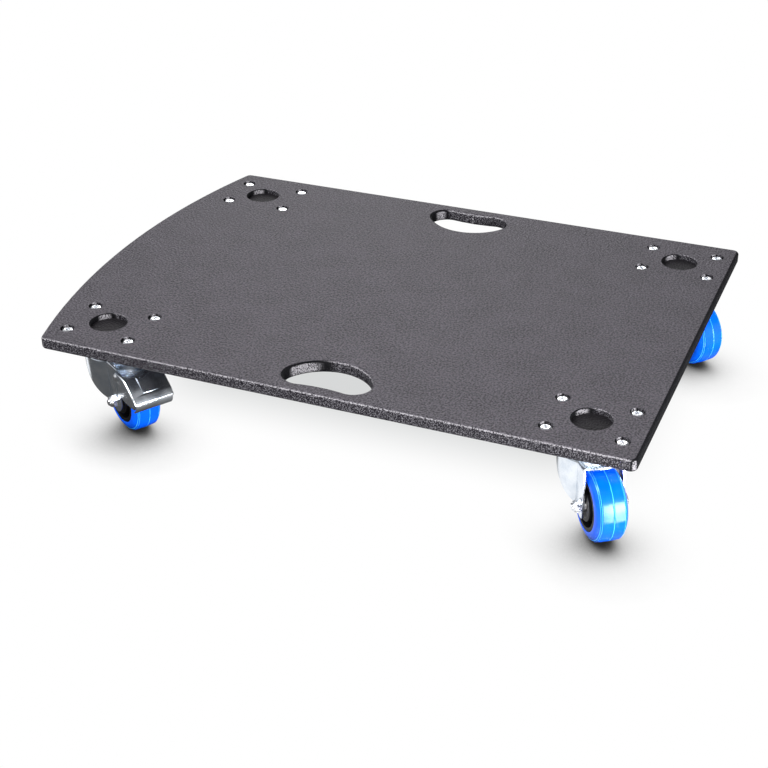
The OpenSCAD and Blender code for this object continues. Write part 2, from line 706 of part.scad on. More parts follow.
// Pressed pedal: a roof with an embossed square, a cheek outside each leg and a turned-down lip
module brake_pedal() {
    width = 2 * cheek_out;
    emboss = (pedal_top + pedal_low) / 2 - pedal_dir;
    lip_r = 14;
    reach = 40;
    color([0.7, 0.73, 0.78]) difference() {
        union() {
            difference() {
                hull() for (p = cheek_points) rod(p - pedal_edge_r * unit(p - middle(cheek_points)),
                                                  pedal_edge_r, width);
                across(2 * cheek_in) polygon([
                    pedal_head + [-reach, reach], pedal_head + [0, reach], pedal_head + [0, -pedal_sheet],
                    pedal_top - pedal_sheet * pedal_up, pedal_low - pedal_sheet * pedal_up,
                    pedal_toe + [-pedal_sheet, -1], pedal_toe + [-pedal_sheet, -reach],
                    pedal_head + [-reach, -1.5 * reach]]);
            }
            translate([emboss[0], 0, emboss[1]]) rotate([0, -pedal_slope, 0]) hull() {
                translate([0, 0, -pedal_sheet / 4])
                    cube([emboss_w, emboss_w, pedal_sheet / 2], center = true);
                translate([0, 0, emboss_h / 2])
                    cube([emboss_w - 3 * emboss_h, emboss_w - 3 * emboss_h, emboss_h], center = true);
            }
            intersection() {
                across(width - 4) translate(pedal_toe + [-lip_r, 0]) difference() {
                    circle(lip_r);
                    circle(lip_r - pedal_sheet);
                }
                translate([pedal_toe[0] - pedal_sheet - 6, -width / 2, pedal_toe[1] - lip_h])
                    cube([lip_r, width, lip_h]);
            }
        }
        translate([rivet_x, 0, -rivet_z]) across(width + 2 * cut) circle(d = rivet_d + 2 * run_gap);
    }
}

// Spring-steel leaf under the pedal's roof, which carries the shoe
module brake_leaf() {
    root = pedal_top - (pedal_sheet + seat_gap + leaf_t / 2) * pedal_up + (leaf_len / 2 + 1) * pedal_dir;
    color([0.45, 0.47, 0.5]) translate([root[0], 0, root[1]]) rotate([0, -pedal_slope, 0])
        cube([leaf_len, shoe_w - 4, leaf_t], center = true);
}

// Brake shoe: a block under the leaf with a hollow face that meets the tyre as the pedal comes down
module brake_shoe() {
    top = pedal_top - (pedal_sheet + 2 * seat_gap + leaf_t) * pedal_up + (shoe_len / 2 + 2) * pedal_dir;
    block_h = 14;
    color([0.5, 0.52, 0.55]) across(shoe_w) difference() {
        translate(top) rotate(pedal_slope) translate([-shoe_len / 2, -block_h]) square([shoe_len, block_h]);
        translate(free_c) circle(wheel_r + lock_gap, $fn = fn_wheel);
    }
}

function roof_end(braked) = braked ? tail_x : crown_rear + crown_bow;
function unit(v) = v / norm(v);
function mirrored(half) = concat(half, [for (i = [len(half) - 1:-1:0]) [half[i][0], -half[i][1]]]);
function bulge(from, to, rise, count) = [for (i = [0:count]) from + (to - from) * i / count
    + rise * sin(180 * i / count) * unit([from[1] - to[1], to[0] - from[0]])];
function middle(points) = [for (i = [0, 1]) [for (p = points) p[i]] * [for (p = points) 1] / len(points)];

// Draws one sub-part of a castor in the castor's frame, and sets it in place under the deck.
// The top plate, kingpin and cup stay square to the deck, and the rest turns to the rest angle
module place(castor, turned) {
    translate([castor[1] * pin_x, castor[2] * pin_y, -deck_t])
        rotate([0, 0, turned ? castor[3] : 0]) children();
}

deck_board();
deck_bolts();
deck_washers();
deck_nuts();
for (c = CASTORS) {
    place(c, false) top_plate();
    place(c, false) kingpin();
    place(c, false) race_cup();
    place(c, true) swivel_balls();
    place(c, true) fork(c[4]);
    place(c, true) axle_bolt();
    place(c, true) axle_nut();
    place(c, true) axle_sleeve();
    place(c, true) wheel_bearings();
    place(c, true) wheel_rim();
    place(c, true) tyre();
}
for (c = CASTORS) if (c[4]) {
    place(c, true) brake_rivets();
    place(c, true) brake_pedal();
    place(c, true) brake_leaf();
    place(c, true) brake_shoe();
}
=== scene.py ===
"""Trolley for a large loudspeaker, dressed for a studio picture: a coated plywood deck on four
swivel castors with blue tyres, two of them braked."""
import json
from math import asin, atan2, cos, pi, radians, sin, tau

import bmesh
import bpy
from mathutils import Matrix, Vector


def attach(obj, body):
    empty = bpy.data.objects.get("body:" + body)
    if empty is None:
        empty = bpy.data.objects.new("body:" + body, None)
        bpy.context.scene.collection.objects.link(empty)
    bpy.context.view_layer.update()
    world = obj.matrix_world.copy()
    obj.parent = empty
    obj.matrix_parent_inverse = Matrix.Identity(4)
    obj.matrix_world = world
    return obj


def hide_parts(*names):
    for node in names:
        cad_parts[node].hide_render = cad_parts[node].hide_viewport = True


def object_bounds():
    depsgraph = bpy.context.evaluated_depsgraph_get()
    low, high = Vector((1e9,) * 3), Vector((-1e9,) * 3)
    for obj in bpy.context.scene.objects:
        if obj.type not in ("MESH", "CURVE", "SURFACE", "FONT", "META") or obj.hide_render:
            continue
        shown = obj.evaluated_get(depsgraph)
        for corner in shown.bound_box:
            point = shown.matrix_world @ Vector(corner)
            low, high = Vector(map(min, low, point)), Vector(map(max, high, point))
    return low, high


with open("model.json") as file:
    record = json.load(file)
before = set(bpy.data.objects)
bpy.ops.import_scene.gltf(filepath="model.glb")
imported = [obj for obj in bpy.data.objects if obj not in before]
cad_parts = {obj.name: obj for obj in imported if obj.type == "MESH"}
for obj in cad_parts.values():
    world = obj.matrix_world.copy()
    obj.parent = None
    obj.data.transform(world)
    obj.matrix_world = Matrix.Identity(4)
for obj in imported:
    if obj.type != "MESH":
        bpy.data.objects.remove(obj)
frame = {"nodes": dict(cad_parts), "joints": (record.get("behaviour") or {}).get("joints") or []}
cad_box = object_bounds()
nodes = frame["nodes"]


# The deck: birch plywood, cut and rounded over all round, then sprayed with a tough textured
# coating. The spray leaves round grains close together, with a satin skin. The glints on the edges
# and the highlight on the front arris are painted, and the straight end is painted near black as shade.

class Wire:
    """An output socket in a node tree. Arithmetic on it adds Math nodes."""

    mix_factor, mix_a, mix_b, mix_result = 0, 6, 7, 2  # the colour sockets of a Mix node

    def __init__(self, tree, socket=None):
        self.tree = tree
        self.socket = socket

    def join(self, made, inputs):
        """Gives a node's sockets their values or links. A colour written as three numbers gets
        its fourth."""
        for key, value in inputs.items():
            plug = made.inputs[key]
            if isinstance(value, Wire):
                self.tree.links.new(value.socket, plug)
            elif plug.type == "RGBA":
                plug.default_value = (*value, 1.0)
            else:
                plug.default_value = value

    def node(self, kind, inputs=None, out=0, **settings):
        """Adds a node, with its settings first and then its sockets, and returns one output."""
        made = self.tree.nodes.new(kind)
        for name, value in settings.items():
            setattr(made, name, value)
        self.join(made, inputs or {})
        return Wire(self.tree, made.outputs[out])

    def math(self, operation, *values):
        return self.node("ShaderNodeMath", dict(enumerate(values)), operation=operation)

    def __add__(self, other):
        return self.math("ADD", self, other)

    def __sub__(self, other):
        return self.math("SUBTRACT", self, other)

    def __rsub__(self, other):
        return self.math("SUBTRACT", other, self)

    def __mul__(self, other):
        return self.math("MULTIPLY", self, other)

    def __truediv__(self, other):
        return self.math("DIVIDE", self, other)

    def __rtruediv__(self, other):
        return self.math("DIVIDE", other, self)

    __radd__ = __add__
    __rmul__ = __mul__

    def step(self, low, high):
        """0 below low and 1 above high, with a smooth rise between them."""
        return self.node("ShaderNodeMapRange", {"Value": self, "From Min": low, "From Max": high},
                         interpolation_type="SMOOTHSTEP")

    def within(self, low, inner_low, inner_high, high):
        """1 between the two inner marks and 0 outside the outer ones."""
        return self.step(low, inner_low) * self.step(high, inner_high)

    def mix(self, factor, shade_a, shade_b, **settings):
        """Two colours mixed by a Mix node."""
        return self.node("ShaderNodeMix", {self.mix_factor: factor, self.mix_a: shade_a,
                                           self.mix_b: shade_b},
                         out=self.mix_result, data_type="RGBA", **settings)

    def shades(self, shade_a, shade_b):
        """A colour that goes from shade_a to shade_b as this value goes from 0 to 1."""
        return self.mix(self, shade_a, shade_b)

    def noise(self, scale, detail):
        """Soft spots over this place, about scale of them to a metre."""
        return self.node("ShaderNodeTexNoise", {"Vector": self, "Scale": scale, "Detail": detail})

    def relief(self, strength, depth):
        """The normal of a surface that this value raises by up to depth metres."""
        return self.node("ShaderNodeBump", {"Height": self, "Strength": strength, "Distance": depth})

    def parts(self):
        """The three components of a vector."""
        made = self.node("ShaderNodeSeparateXYZ", {0: self}).socket.node
        return [Wire(self.tree, plug) for plug in made.outputs]


def new_finish(name):
    """An empty material, a bench to build its nodes on, and the place on the piece in metres."""
    finish = bpy.data.materials.new(name)
    finish.use_nodes = True
    finish.node_tree.nodes.clear()
    bench = Wire(finish.node_tree)
    return finish, bench, bench.node("ShaderNodeTexCoord", out="Object")


def close_finish(finish, bench, **inputs):
    """Adds the surface with its sockets, and ties it to the material's output."""
    surface = bench.node("ShaderNodeBsdfPrincipled",
                         {name.replace("_", " "): value for name, value in inputs.items()})
    output = bench.tree.nodes.new("ShaderNodeOutputMaterial")
    bench.tree.links.new(surface.socket, output.inputs["Surface"])
    return finish


def dress(finish, *names):
    """Puts a finish on CAD nodes."""
    for name in names:
        for slot in nodes[name].material_slots:
            slot.material = finish


def textured_coating():
    """Grey grains on the flat top, and black pits with painted glints on the edges. A painted
    highlight lies on the front arris and the rounded corner. The straight end is painted near black
    as shade, and the floors of the dishes are darkest."""
    finish, bench, place = new_finish("textured_coating")
    grey_low, grey_high = (0.024, 0.022, 0.027), (0.09, 0.083, 0.096)
    pit, painted_glint, painted_edge_highlight = (0.006, 0.005, 0.008), (0.12, 0.116, 0.128), (0.3, 0.29, 0.31)
    painted_end_shade, dish_black = (0.002, 0.002, 0.003), (0.012, 0.011, 0.013)
    grain_height, dish_lip, dish_floor = 0.0012, -0.003, -0.0058
    grain = bench.node("ShaderNodeTexVoronoi", {"Vector": place, "Scale": 420.0, "Smoothness": 0.5},
                       feature="SMOOTH_F1")
    spatter, glints, cloud = place.noise(430.0, 2.0), place.noise(760.0, 2.0), place.noise(22.0, 4.0)
    endward, backward, upward = bench.node("ShaderNodeNewGeometry", out="Normal").parts()
    level = upward.step(0.55, 0.95)
    arris = upward.within(0.3, 0.6, 0.8, 0.93) * backward.step(-0.2, -0.6)
    corner = (endward * (0 - backward)).step(0.3, 0.48)
    straight_end = endward.step(0.04, 0.3) * (1 - corner)
    sunk = place.parts()[2].step(dish_lip, dish_floor) * level
    flat_tone = (spatter.step(0.38, 0.62) * 0.8 + cloud.step(0.3, 0.7) * 0.2).shades(grey_low, grey_high)
    # The dark pits are the coating's own, and the light speckles on the edges are painted glints.
    edge_tone = glints.step(0.47, 0.62).shades(pit, painted_glint)
    # A painted highlight along the front arris and on the rounded corner.
    painted_highlight_tone = ((arris + corner) * glints.step(0.38, 0.55)).shades(edge_tone, painted_edge_highlight)
    # Painted shade: the straight end is coloured near black, as the side that gets no light.
    tone = straight_end.shades(level.shades(painted_highlight_tone, flat_tone), painted_end_shade)
    return close_finish(
        finish, bench, Base_Color=sunk.shades(tone, dish_black),
        Roughness=0.42 + 0.14 * cloud + 0.4 * straight_end + 0.12 * level,
        Normal=((1 - grain) * 0.8 + spatter * 0.7).relief(1.0, grain_height), Specular_IOR_Level=0.13)


dress(textured_coating(), "deck_board")


# The castor's pressed parts, top plate and fork: mild steel sheet, bent and then bright zinc
# plated with a blue passivation. The press leaves faint drawing lines under the plating, and
# tumbling before plating breaks the cut edges.

CASTORS = ["front_left", "front_right", "back_left", "back_right"]
BRAKED = ["front_left", "back_left"]
MM = 0.001


def zinc_plate(name, light, dark, rough):
    """Plated or ground steel: a haze of two tones, with faint drawing lines."""
    finish, bench, place = new_finish(name)
    drawn = bench.node("ShaderNodeMapping", {"Vector": place, "Scale": (1.0, 1.0, 0.22)})
    lines, haze = drawn.noise(900.0, 3.0), place.noise(60.0, 5.0)
    return close_finish(
        finish, bench, Base_Color=haze.step(0.3, 0.7).shades(dark, light), Metallic=1.0,
        Roughness=rough + 0.12 * haze + 0.06 * lines, Normal=lines.relief(0.06, 0.0004))


def new_piece(name, mesh, finish, body, slot, *stands_for):
    """A finished mesh as a piece that rides on a body and stands for CAD nodes."""
    if not mesh.materials:
        mesh.materials.append(finish)
    piece = bpy.data.objects.new(name, mesh)
    bpy.context.scene.collection.objects.link(piece)
    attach(piece, body)
    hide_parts(*stands_for)
    return piece


def plain_mesh(builder):
    """The mesh that an object's modifiers make. The object and its modifiers are then removed."""
    bpy.context.view_layer.update()
    shown = builder.evaluated_get(bpy.context.evaluated_depsgraph_get())
    mesh = bpy.data.meshes.new_from_object(shown)
    drawn = builder.data
    bpy.data.objects.remove(builder)
    bpy.data.meshes.remove(drawn)
    return mesh


def smooth(mesh, crease):
    """Smooth shading up to an angle in degrees, past which an edge stays crisp."""
    mesh.shade_smooth()
    mesh.set_sharp_from_angle(angle=radians(crease))
    return mesh


def broken_edges(node, width, crease=38, punched=0.0):
    """A copy of a CAD piece whose sharp edges are rounded by width millimetres. Where punched is
    over 0, the square with sides that long, in millimetres, grows until its walls are steep."""
    touching, one_plane, growth, like_enough = 2e-6, radians(0.6), 1.22, 0.02
    mesh = nodes[node].data.copy()
    mesh.materials.clear()
    work = bmesh.new()
    work.from_mesh(mesh)
    bmesh.ops.remove_doubles(work, verts=work.verts, dist=touching)
    bmesh.ops.dissolve_limit(work, angle_limit=one_plane, verts=work.verts, edges=work.edges)
    for face in work.faces if punched else []:
        area = face.calc_area() / MM ** 2
        if len(face.verts) == 4 and abs(area / punched ** 2 - 1) < like_enough:
            middle = face.calc_center_median()
            for vert in face.verts:
                vert.co = middle + (vert.co - middle) * growth
    work.to_mesh(mesh)
    work.free()
    builder = bpy.data.objects.new(node, mesh)
    bpy.context.scene.collection.objects.link(builder)
    edge = builder.modifiers.new("edge", "BEVEL")
    edge.width = width * MM
    edge.segments = 2
    edge.limit_method = "ANGLE"
    edge.angle_limit = radians(crease)
    edge.use_clamp_overlap = True
    return smooth(plain_mesh(builder), 30)


sheet_zinc = zinc_plate("sheet_zinc", (0.83, 0.87, 0.92), (0.66, 0.72, 0.8), 0.14)
fork_edge, plate_edge = 0.35, 0.3
for castor in CASTORS:
    new_piece(f"{castor}_pressed_fork", broken_edges(f"{castor}_fork", fork_edge), sheet_zinc,
              f"{castor}_swivel", "pressed_zinc", f"{castor}_fork")
    new_piece(f"{castor}_pressed_plate", broken_edges(f"{castor}_top_plate", plate_edge), sheet_zinc,
              "deck", "pressed_zinc", f"{castor}_top_plate")


# The swivel bearing: two rows of hardened balls between the pressed races, held together by
# the riveted kingpin and a lower cup. The balls are ground, and the rest is turned and plated.

def set_inputs(modifier, **values):
    """Sets a node tree's inputs on a modifier by each socket's identifier."""
    for item in modifier.node_group.interface.items_tree:
        if item.in_out == "INPUT" and item.name in values:
            modifier[item.identifier] = values[item.name]


def new_tree(name, inputs):
    """A node tree that makes a shape, with its bench and its named inputs."""
    tree = bpy.data.node_groups.new(name, "GeometryNodeTree")
    for label, kind in inputs.items():
        tree.interface.new_socket(label, in_out="INPUT", socket_type="NodeSocket" + kind)
    tree.interface.new_socket("Piece", in_out="OUTPUT", socket_type="NodeSocketGeometry")
    given = tree.nodes.new("NodeGroupInput")
    return tree, Wire(tree), [Wire(tree, given.outputs[label]) for label in inputs]


def close_tree(bench, shape, finish):
    """Makes instances real, sets the finish and ties the shape to the tree's output."""
    real = bench.node("GeometryNodeRealizeInstances", {"Geometry": shape})
    done = bench.node("GeometryNodeSetMaterial", {"Geometry": real, "Material": finish})
    output = bench.tree.nodes.new("NodeGroupOutput")
    bench.tree.links.new(done.socket, output.inputs["Piece"])
    return bench.tree


def ball_row_tree():
    """Balls set evenly round a ring."""
    tree, bench, (radius, height, size, count, finish) = new_tree(
        "ball_row", {"Radius": "Float", "Height": "Float", "Size": "Float", "Count": "Int",
                     "Finish": "Material"})
    ring = bench.node("GeometryNodeMeshCircle", {"Vertices": count, "Radius": radius})
    ball = bench.node("GeometryNodeMeshUVSphere", {"Segments": 20, "Rings": 12, "Radius": size / 2})
    raised = bench.node("GeometryNodeSetPosition", {
        "Geometry": ring, "Offset": bench.node("ShaderNodeCombineXYZ", {"Z": height})})
    balls = bench.node("GeometryNodeInstanceOnPoints", {"Points": raised, "Instance": ball})
    return close_tree(bench, balls, finish)


def joined(meshes):
    """Several meshes as one."""
    work = bmesh.new()
    for mesh in meshes:
        work.from_mesh(mesh)
    whole = meshes[0].copy()
    work.to_mesh(whole)
    work.free()
    return whole


joint_of = {joint["child"]: joint for joint in frame["joints"]}


def castor_frame(castor):
    """The castor's own frame: the kingpin at the origin, +X along the trail, at the deck's
    underside."""
    swivel = joint_of[f"{castor}_swivel"]
    wheel = joint_of[f"{castor}_wheel"]
    trail_way = (Vector(wheel["pos_m"]) - Vector(swivel["pos_m"])) * Vector((1, 1, 0))
    turn = Matrix.Rotation(atan2(trail_way.y, trail_way.x), 4, "Z")
    return Matrix.Translation(Vector(swivel["pos_m"])) @ turn


def ball_row(radius, height, size):
    """A full row of balls in millimetres, each with a little room to roll."""
    room = size * 1.08
    builder = bpy.data.objects.new("balls", bpy.data.meshes.new("balls"))
    bpy.context.scene.collection.objects.link(builder)
    modifier = builder.modifiers.new("row", "NODES")
    modifier.node_group = row_tree
    set_inputs(modifier, Radius=radius * MM, Height=height * MM, Size=size * MM, Finish=ground_steel,
               Count=int(pi / asin(room / 2 / radius)))
    return plain_mesh(builder)


bright_steel = zinc_plate("turned_zinc", (0.9, 0.91, 0.93), (0.76, 0.78, 0.82), 0.16)
ground_steel = zinc_plate("ground_steel", (0.7, 0.71, 0.72), (0.5, 0.51, 0.53), 0.1)
row_tree = ball_row_tree()
upper_row = {"radius": 18.0, "height": -13.55, "size": 6.0}
lower_row = {"radius": 12.0, "height": -19.65, "size": 5.0}
balls = smooth(joined([ball_row(**upper_row), ball_row(**lower_row)]), 60)
for castor in CASTORS:
    dress(bright_steel, f"{castor}_kingpin", f"{castor}_race_cup")
    mesh = balls.copy()
    mesh.transform(castor_frame(castor))
    new_piece(f"{castor}_ball_rows", mesh, ground_steel, f"{castor}_swivel", "bearing_steel",
              f"{castor}_swivel_balls")


# The wheel: a black nylon rim with a hub, a dished web and a flanged seat, turned here as the
# mould was. It runs on two sealed ball bearings over a steel sleeve.

def turning_tree():
    """Turns a profile once round the Z axis. A profile point is (radius, hexagon, height):
    where hexagon is 1 its ring is a hexagon with that radius across its flats, where 0 round."""
    tree, bench, (profile, steps, finish) = new_tree(
        "turned_piece", {"Profile": "Geometry", "Steps": "Int", "Finish": "Material"})
    rows = bench.node("GeometryNodeAttributeDomainSize", {"Geometry": profile}, component="MESH")
    grid = bench.node("GeometryNodeMeshGrid", {"Vertices X": steps + 1, "Vertices Y": rows})
    index = bench.node("GeometryNodeInputIndex")
    column = index.math("FLOOR", index / rows)
    spot = bench.node("GeometryNodeSampleIndex", {
        "Geometry": profile, "Value": bench.node("GeometryNodeInputPosition"),
        "Index": index - column * rows}, data_type="FLOAT_VECTOR")
    radius, hexagon, height = spot.parts()
    angle = column / steps * tau
    off_flat = angle.math("MODULO", angle, tau / 6) - tau / 12
    corner = 1 / off_flat.math("COSINE", off_flat) - 1
    reach = radius * (1 + hexagon * corner)
    turned = bench.node("ShaderNodeCombineXYZ", {
        "X": reach * angle.math("COSINE", angle), "Y": reach * angle.math("SINE", angle),
        "Z": height})
    shell = bench.node("GeometryNodeSetPosition", {"Geometry": grid, "Position": turned})
    whole = bench.node("GeometryNodeMergeByDistance", {"Geometry": shell, "Distance": 1e-6})
    return close_tree(bench, whole, finish)


def turned(profile, steps, finish, crease=35):
    """A profile in millimetres, as (radius, height) or (radius, height, hexagon) points, turned
    into a mesh with its faces outwards."""
    drawn = bpy.data.meshes.new("profile")
    drawn.from_pydata([(spot[0] * MM, spot[2] if len(spot) > 2 else 0.0, spot[1] * MM)
                       for spot in profile], [], [])
    builder = bpy.data.objects.new("profile", drawn)
    bpy.context.scene.collection.objects.link(builder)
    modifier = builder.modifiers.new("turn", "NODES")
    modifier.node_group = lathe
    set_inputs(modifier, Steps=steps, Finish=finish)
    mesh = plain_mesh(builder)
    work = bmesh.new()
    work.from_mesh(mesh)
    if work.calc_volume(signed=True) < 0:
        bmesh.ops.reverse_faces(work, faces=work.faces)
    work.to_mesh(mesh)
    work.free()
    return smooth(mesh, crease)


def bend(centre, radius, start, end, count):
    """Points on an arc, between two angles in degrees measured from the radial direction."""
    return [(centre[0] + radius * cos(radians(start + (end - start) * i / count)),
             centre[1] + radius * sin(radians(start + (end - start) * i / count)))
            for i in range(count + 1)]


def mirrored(half):
    """A closed outline, from the half of it on the +height side."""
    return half + [(r, -z) for r, z in reversed(half)] + half[:1]


def axle_frame(castor):
    """The wheel's own frame: the origin at its middle, +Z along the axle."""
    joint = joint_of[f"{castor}_wheel"]
    axle = Vector(joint["axis"]).normalized()
    up = Vector((0, 0, 1))
    turn = Matrix((up, axle.cross(up), axle)).transposed().to_4x4()
    return Matrix.Translation(Vector(joint["pos_m"])) @ turn


def on_axle(drawn, castor, shift=0.0):
    """A copy of a turned mesh on a castor's axle, shift millimetres from the wheel's middle."""
    mesh = drawn.copy()
    mesh.transform(axle_frame(castor) @ Matrix.Translation((0, 0, shift * MM)))
    return mesh


def moulded_nylon():
    """Black nylon with a fine matt skin and a trace of dust."""
    finish, bench, place = new_finish("moulded_nylon")
    black, dusty = (0.004, 0.004, 0.005), (0.01, 0.01, 0.011)
    haze, dust = place.noise(300.0, 4.0), place.noise(40.0, 3.0)
    return close_finish(
        finish, bench, Base_Color=dust.step(0.4, 0.8).shades(black, dusty),
        Roughness=0.3 + 0.15 * haze, Normal=haze.relief(0.12, 0.0003), Specular_IOR_Level=0.1)


lathe = turning_tree()
nylon = moulded_nylon()
dark_steel = zinc_plate("oiled_steel", (0.09, 0.085, 0.085), (0.05, 0.045, 0.045), 0.3)
bore_r, bearing_seat, bearing_shoulder = 9.0, 14.05, 10.5
hub_half, hub_r, hub_edge, web_top, fillet = 18.5, 17.2, 0.5, 4.0, 2.5
barrel_r, barrel_edge, rim_half, flange_r, flange_edge = 23.5, 0.6, 17.5, 28.1, 0.8
seat_r, flange_w = 26.5, 2.6
rim = turned(mirrored(
    [(bore_r, bearing_shoulder), (bearing_seat, bearing_shoulder), (bearing_seat, hub_half)]
    + bend((hub_r - hub_edge, hub_half - hub_edge), hub_edge, 90, 0, 4)
    + bend((hub_r + fillet, web_top + fillet), fillet, 180, 270, 6)
    + bend((barrel_r - fillet, web_top + fillet), fillet, 270, 360, 6)
    + bend((barrel_r + barrel_edge, rim_half - barrel_edge), barrel_edge, 180, 90, 4)
    + bend((flange_r - flange_edge, rim_half - flange_edge), flange_edge, 90, 0, 4)
    + bend((flange_r - flange_edge, rim_half - flange_w + flange_edge), flange_edge, 0, -90, 4)
    + [(seat_r, rim_half - flange_w)]), 120, nylon)
bearing_bore, bearing_r, bearing_half, bevel = 6.05, 14.0, 4.0, 0.4
inner_race, outer_race, seal_top, seal_middle = 7.8, 12.2, 3.6, 10.0
bearing = turned(mirrored(
    [(bearing_bore, 0.0), (bearing_bore, bearing_half - bevel), (bearing_bore + bevel, bearing_half),
     (inner_race, bearing_half), (inner_race + 0.1, seal_top), (seal_middle - 0.4, seal_top - 0.1),
     (seal_middle - 0.2, seal_top - 0.35), (seal_middle + 0.2, seal_top - 0.35),
     (seal_middle + 0.4, seal_top - 0.1), (outer_race - 0.1, seal_top), (outer_race, bearing_half),
     (bearing_r - bevel, bearing_half), (bearing_r, bearing_half - bevel)]), 96, dark_steel)
bearing_out = 14.5
for castor in CASTORS:
    new_piece(f"{castor}_turned_rim", on_axle(rim, castor), nylon, f"{castor}_wheel", "rim_plastic",
              f"{castor}_wheel_rim")
    pair = smooth(joined([on_axle(bearing, castor, side * bearing_out) for side in (-1, 1)]), 35)
    new_piece(f"{castor}_sealed_bearings", pair, dark_steel, f"{castor}_wheel", "bearing_steel",
              f"{castor}_wheel_bearings")
    dress(bright_steel, f"{castor}_axle_sleeve")


# The tyre: blue elastic rubber, moulded onto the rim and left glossy from the mould. The two
# halves of the mould leave a fine seam, and a groove and a bead run round each shoulder.

def elastic_rubber(name, deep, light):
    """Glossy rubber whose colour drifts a little between two tones."""
    finish, bench, place = new_finish(name)
    haze, skin = place.noise(45.0, 4.0), place.noise(420.0, 3.0)
    return close_finish(
        finish, bench, Base_Color=haze.step(0.3, 0.7).shades(deep, light),
        Roughness=0.18 + 0.08 * haze, Normal=skin.relief(0.05, 0.0003), Specular_IOR_Level=0.5,
        Specular_Tint=(0.6, 0.9, 1.0))


rubber = elastic_rubber("elastic_rubber", (0.0, 0.09, 0.85), (0.0, 0.125, 0.95))
# A lighter blue that paints the highlights along the seam, the grooves and the beads.
painted_highlight_rubber = elastic_rubber("highlight_painted_rubber", (0.03, 0.42, 1.0), (0.08, 0.55, 1.0))
wheel_r, seam_h, tread_half, crown_drop, rim_gap = 40.0, 0.15, 11.6, 0.5, 0.05
side_foot, side_top, side_bulge = (28.45, 17.8), (37.2, 13.5), (0.48, 0.98)
seam = [(wheel_r, 0.12), (wheel_r - seam_h / 3, 0.3), (wheel_r - seam_h, 0.45)]
crown = [(wheel_r - seam_h - crown_drop * (i / 8) ** 2, tread_half * i / 8) for i in range(1, 9)]
groove = [(39.1, 11.65), (38.8, 11.85), (38.66, 12.15), (38.72, 12.42), (38.62, 12.6), (37.9, 13.2)]
bead = bend((37.03, 13.33), 0.7, 30, 95, 5)
side = [(side_top[0] + (side_foot[0] - side_top[0]) * i / 12 + side_bulge[0] * sin(pi * i / 12),
         side_top[1] + (side_foot[1] - side_top[1]) * i / 12 + side_bulge[1] * sin(pi * i / 12))
        for i in range(1, 13)]
inside_flange, outside_rim = rim_half - flange_w - rim_gap, flange_r + rim_gap
foot = [(outside_rim + 0.05, 17.7), (outside_rim, 17.4), (outside_rim, inside_flange),
        (seat_r + rim_gap, inside_flange)]
tyre = turned(mirrored(seam + crown + groove + bead + side + foot), 144, rubber)
tyre.materials.clear()
for finish in (rubber, painted_highlight_rubber):
    tyre.materials.append(finish)
# Each painted highlight line on the seam, the groove and the bead, as its inner and outer radius and
# the least distance from the wheel's middle.
painted_highlight_lines = [(wheel_r - 0.06, wheel_r + 0.1, -1.0), (38.6, 38.74, 12.1), (36.9, 37.75, 13.4)]
for face in tyre.polygons:
    out, across = face.center.xy.length / MM, abs(face.center.z) / MM
    face.material_index = int(any(low < out < high and across > least
                                  for low, high, least in painted_highlight_lines))
for castor in CASTORS:
    new_piece(f"{castor}_moulded_tyre", on_axle(tyre, castor), rubber, f"{castor}_wheel",
              "tyre_rubber", f"{castor}_tyre")


# The axle: an M8 bolt with a hexagon head, and a locking nut with a nylon collar. The end of
# the thread stands out of the nut.

def thread(radius, start, end, pitch=1.25, depth=0.35):
    """A thread's crests and roots along a bolt, as rings, from one height to another."""
    turns = max(1, round(abs(end - start) / pitch))
    rise = (end - start) / turns
    root_end, crest_start, crest_end = 0.15, 0.5, 0.65
    points = []
    for i in range(turns):
        points += [(radius - depth, start + i * rise), (radius - depth, start + (i + root_end) * rise),
                   (radius, start + (i + crest_start) * rise), (radius, start + (i + crest_end) * rise)]
    return points + [(radius - depth, end)]


shank_r, nut_bore, hex_flat, face_r, chamfer_r = 4.0, 4.05, 6.5, 6.2, 6.1
leg_out, head_h, nut_h, stub, tip = 22.5, 5.3, 8.0, 2.0, 0.6
head_end, bolt_end = leg_out + head_h, -leg_out - nut_h - stub
face_bevel, top_r, point_r = 0.3, 5.6, 3.2
fine_steps, plain_steps, crisp = 60, 48, 25
axle_bolt = turned(
    [(0.0, head_end), (top_r, head_end), (chamfer_r, head_end - 0.15), (hex_flat, head_end - 0.75, 1.0),
     (hex_flat, leg_out + face_bevel, 1.0), (face_r, leg_out), (shank_r, leg_out)]
    + thread(shank_r, -leg_out, bolt_end + tip) + [(point_r, bolt_end), (0.0, bolt_end)],
    fine_steps, bright_steel, crisp)
hex_h, collar_r, collar_edge = 5.3, 5.8, 0.8
lock_nut = turned(
    [(nut_bore, -leg_out), (face_r, -leg_out), (hex_flat, -leg_out - face_bevel, 1.0),
     (hex_flat, -leg_out - hex_h, 1.0), (chamfer_r, -leg_out - hex_h - 0.7)]
    + bend((collar_r - collar_edge, -leg_out - nut_h + collar_edge), collar_edge, 0, -90, 4)
    + [(nut_bore, -leg_out - nut_h), (nut_bore, -leg_out)], fine_steps, bright_steel, crisp)
for castor in CASTORS:
    new_piece(f"{castor}_axle_and_head", on_axle(axle_bolt, castor), bright_steel,
              f"{castor}_swivel", "zinc", f"{castor}_axle_bolt")
    new_piece(f"{castor}_locking_nut", on_axle(lock_nut, castor), bright_steel,
              f"{castor}_swivel", "zinc", f"{castor}_axle_nut")


# The foot brake: a pressed pedal on two shoulder rivets, with a spring-steel leaf under it and
# a shoe whose hollow face meets the tyre.

